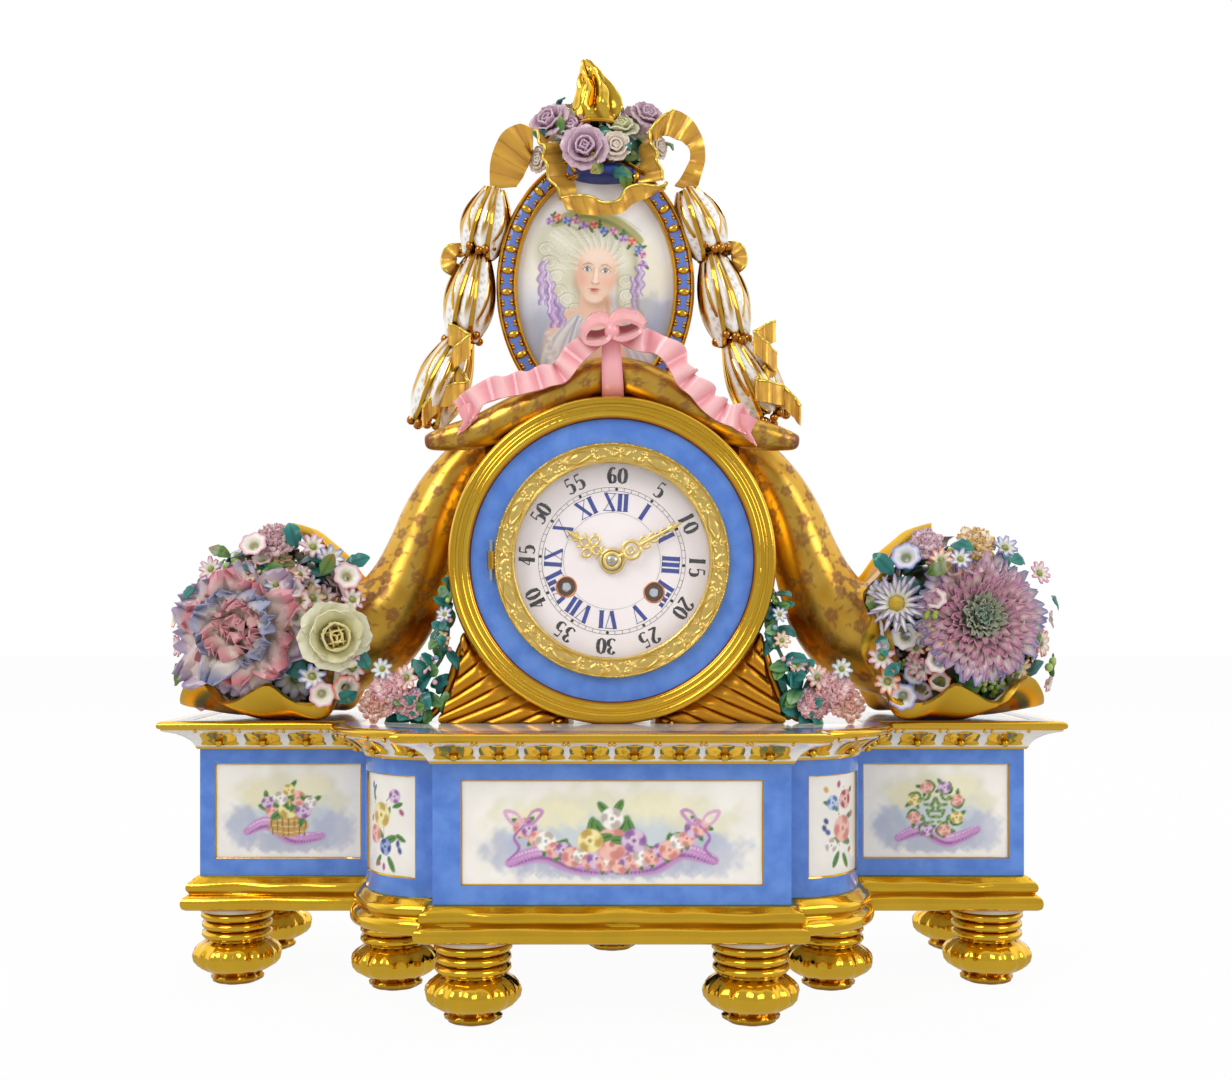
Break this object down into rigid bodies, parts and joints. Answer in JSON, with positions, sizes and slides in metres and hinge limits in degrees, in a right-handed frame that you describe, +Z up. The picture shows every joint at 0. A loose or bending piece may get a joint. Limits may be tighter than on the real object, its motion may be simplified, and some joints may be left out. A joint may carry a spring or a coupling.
{
  "type": "mantel clock",
  "caption": "Porcelain mantel clock: a drum movement on a blue and gilt stepped plinth with bun feet, flanked by flower-filled horns and topped by an oval medallion.",
  "frame": {"origin": "on the floor under the middle of the bounding box", "axes": "+Z up, -Y towards the dial's viewer, +X to the viewer's right"},
  "size_m": [0.426, 0.204, 0.4481],
  "materials": {
    "bright_gilding": "burnished bright gold over glazed porcelain",
    "blue_glaze": "glossy cobalt blue ground",
    "white_glaze": "glossy white glaze with gilt leaf lines",
    "matt_gilding": "satin gold ground with red-brown flower sprigs",
    "pink_glaze": "glossy pink glaze",
    "flower_glaze": "glossy tinted petals in mauve, pink, blue and yellow",
    "leaf_glaze": "glossy teal and green leaves",
    "painted_plaque": "painted and glazed plaque",
    "enamel": "vitreous enamel on copper, gloss",
    "gilt_bronze": "chased and gilt",
    "clear_glass": "clear polished",
    "plain_brass": "polished movement brass",
    "bell_metal": "turned and polished",
    "polished_steel": "polished"
  },
  "bodies": {
    "case": {"front_feet": "bright_gilding", "wing_feet": "bright_gilding", "base_moulding": "bright_gilding", "plinth_body": "blue_glaze", "cornice": "white_glaze", "deck": "white_glaze", "scroll_supports": "matt_gilding", "drum_shell": "bright_gilding", "drum_face": "blue_glaze", "cornucopia_left": "matt_gilding", "cornucopia_right": "matt_gilding", "horn_tails": "matt_gilding", "pink_ribbon": "pink_glaze", "bouquet_left": "flower_glaze", "bouquet_right": "flower_glaze", "foliage_left": "leaf_glaze", "foliage_right": "leaf_glaze", "medallion_frame": "blue_glaze", "medallion_plaque": "painted_plaque", "swag_left": "white_glaze", "swag_right": "white_glaze", "swag_ribbons": "matt_gilding", "top_ribbon": "matt_gilding", "rose_crown": "flower_glaze", "flame_finial": "bright_gilding", "case_bolts": "plain_brass", "mount_ring": "plain_brass", "hinge_pins": "polished_steel", "dial": "enamel", "front_plate": "plain_brass", "back_plate": "plain_brass", "pendulum_cock": "plain_brass", "bell": "bell_metal", "bell_stand": "polished_steel", "movement_straps": "plain_brass", "rear_bezel": "gilt_bronze"},
    "front_bezel": {"bezel": "gilt_bronze", "bezel_glass": "clear_glass"},
    "rear_door": {"rear_door": "gilt_bronze"},
    "centre": {"centre_wheel": "plain_brass", "cannon_pinion": "polished_steel", "minute_hand": "gilt_bronze"},
    "hour": {"hour_wheel": "plain_brass", "hour_hand": "gilt_bronze"},
    "motion": {"minute_wheel": "plain_brass"},
    "intermediate": {"intermediate_wheel": "plain_brass"},
    "going_barrel": {"going_barrel": "plain_brass", "going_mainspring": "polished_steel"},
    "third": {"third_wheel": "plain_brass"},
    "escape": {"escape_wheel": "plain_brass"},
    "going_arbor": {"going_winding_arbor": "polished_steel"},
    "strike_arbor": {"strike_winding_arbor": "polished_steel"},
    "strike_barrel": {"strike_barrel": "plain_brass", "strike_mainspring": "polished_steel"},
    "pin_wheel": {"pin_wheel": "plain_brass"},
    "fly": {"fly": "plain_brass"},
    "hammer": {"hammer": "polished_steel"},
    "pallets": {"pallets": "polished_steel"},
    "pendulum": {"pendulum": "plain_brass"}
  },
  "joints": [
    {"name": "front_bezel_hinge", "type": "hinge", "parent": "case", "child": "front_bezel", "pos_m": [-0.0554, -0.0452, 0.203], "axis": [0, 0, -1], "range_deg": [0, 105]},
    {"name": "rear_door_hinge", "type": "hinge", "parent": "case", "child": "rear_door", "pos_m": [0.0496, 0.065, 0.203], "axis": [0, 0, -1], "range_deg": [0, 100]},
    {"name": "minute_hand_turn", "type": "hinge", "parent": "case", "child": "centre", "pos_m": [0, 0, 0.203], "axis": [0, 1, 0], "continuous": true},
    {"name": "hour_hand_turn", "type": "hinge", "parent": "case", "child": "hour", "pos_m": [0, 0, 0.203], "axis": [0, 1, 0], "continuous": true},
    {"name": "minute_wheel_turn", "type": "hinge", "parent": "case", "child": "motion", "pos_m": [0.00077, 0, 0.21497], "axis": [0, 1, 0], "continuous": true},
    {"name": "intermediate_turn", "type": "hinge", "parent": "case", "child": "intermediate", "pos_m": [0.01193, 0, 0.20864], "axis": [0, 1, 0], "continuous": true},
    {"name": "going_barrel_turn", "type": "hinge", "parent": "case", "child": "going_barrel", "pos_m": [0.0195, 0, 0.18841], "axis": [0, 1, 0], "continuous": true},
    {"name": "third_wheel_turn", "type": "hinge", "parent": "case", "child": "third", "pos_m": [-0.0037, 0, 0.21566], "axis": [0, 1, 0], "continuous": true},
    {"name": "escape_wheel_turn", "type": "hinge", "parent": "case", "child": "escape", "pos_m": [0.00154, 0, 0.22678], "axis": [0, 1, 0], "continuous": true},
    {"name": "going_winding", "type": "hinge", "parent": "case", "child": "going_arbor", "pos_m": [0.0195, 0, 0.18841], "axis": [0, 1, 0], "continuous": true},
    {"name": "strike_winding", "type": "hinge", "parent": "case", "child": "strike_arbor", "pos_m": [-0.02122, 0, 0.19104], "axis": [0, 1, 0], "continuous": true},
    {"name": "strike_barrel_turn", "type": "hinge", "parent": "case", "child": "strike_barrel", "pos_m": [-0.02122, 0, 0.19104], "axis": [0, 1, 0], "continuous": true},
    {"name": "pin_wheel_turn", "type": "hinge", "parent": "case", "child": "pin_wheel", "pos_m": [-0.02728, 0, 0.21178], "axis": [0, 1, 0], "continuous": true},
    {"name": "fly_turn", "type": "hinge", "parent": "case", "child": "fly", "pos_m": [-0.0217, 0, 0.22014], "axis": [0, 1, 0], "continuous": true},
    {"name": "hammer_lift", "type": "hinge", "parent": "case", "child": "hammer", "pos_m": [-0.0394, 0, 0.21357], "axis": [0, 1, 0], "range_deg": [-4, 8], "stiffness_Nm_per_rad": 0.05},
    {"name": "pendulum_swing", "type": "hinge", "parent": "case", "child": "pendulum", "pos_m": [0.00231, 0, 0.23875], "axis": [0, 1, 0], "range_deg": [-4, 4]},
    {"name": "pallet_rock", "type": "hinge", "parent": "case", "child": "pallets", "pos_m": [0.00231, 0, 0.23875], "axis": [0, 1, 0], "range_deg": [-4, 4]}
  ],
  "couplings": [
    {"joint": "hour_hand_turn", "follows": "minute_hand_turn", "ratio": 0.083333},
    {"joint": "minute_wheel_turn", "follows": "minute_hand_turn", "ratio": -0.33333},
    {"joint": "intermediate_turn", "follows": "minute_hand_turn", "ratio": -0.1},
    {"joint": "going_barrel_turn", "follows": "minute_hand_turn", "ratio": 0.014286},
    {"joint": "third_wheel_turn", "follows": "minute_hand_turn", "ratio": -12},
    {"joint": "escape_wheel_turn", "follows": "minute_hand_turn", "ratio": 144},
    {"joint": "pin_wheel_turn", "follows": "strike_barrel_turn", "ratio": -6.5},
    {"joint": "fly_turn", "follows": "strike_barrel_turn", "ratio": 55.714},
    {"joint": "pallet_rock", "follows": "pendulum_swing", "ratio": 1}
  ]
}
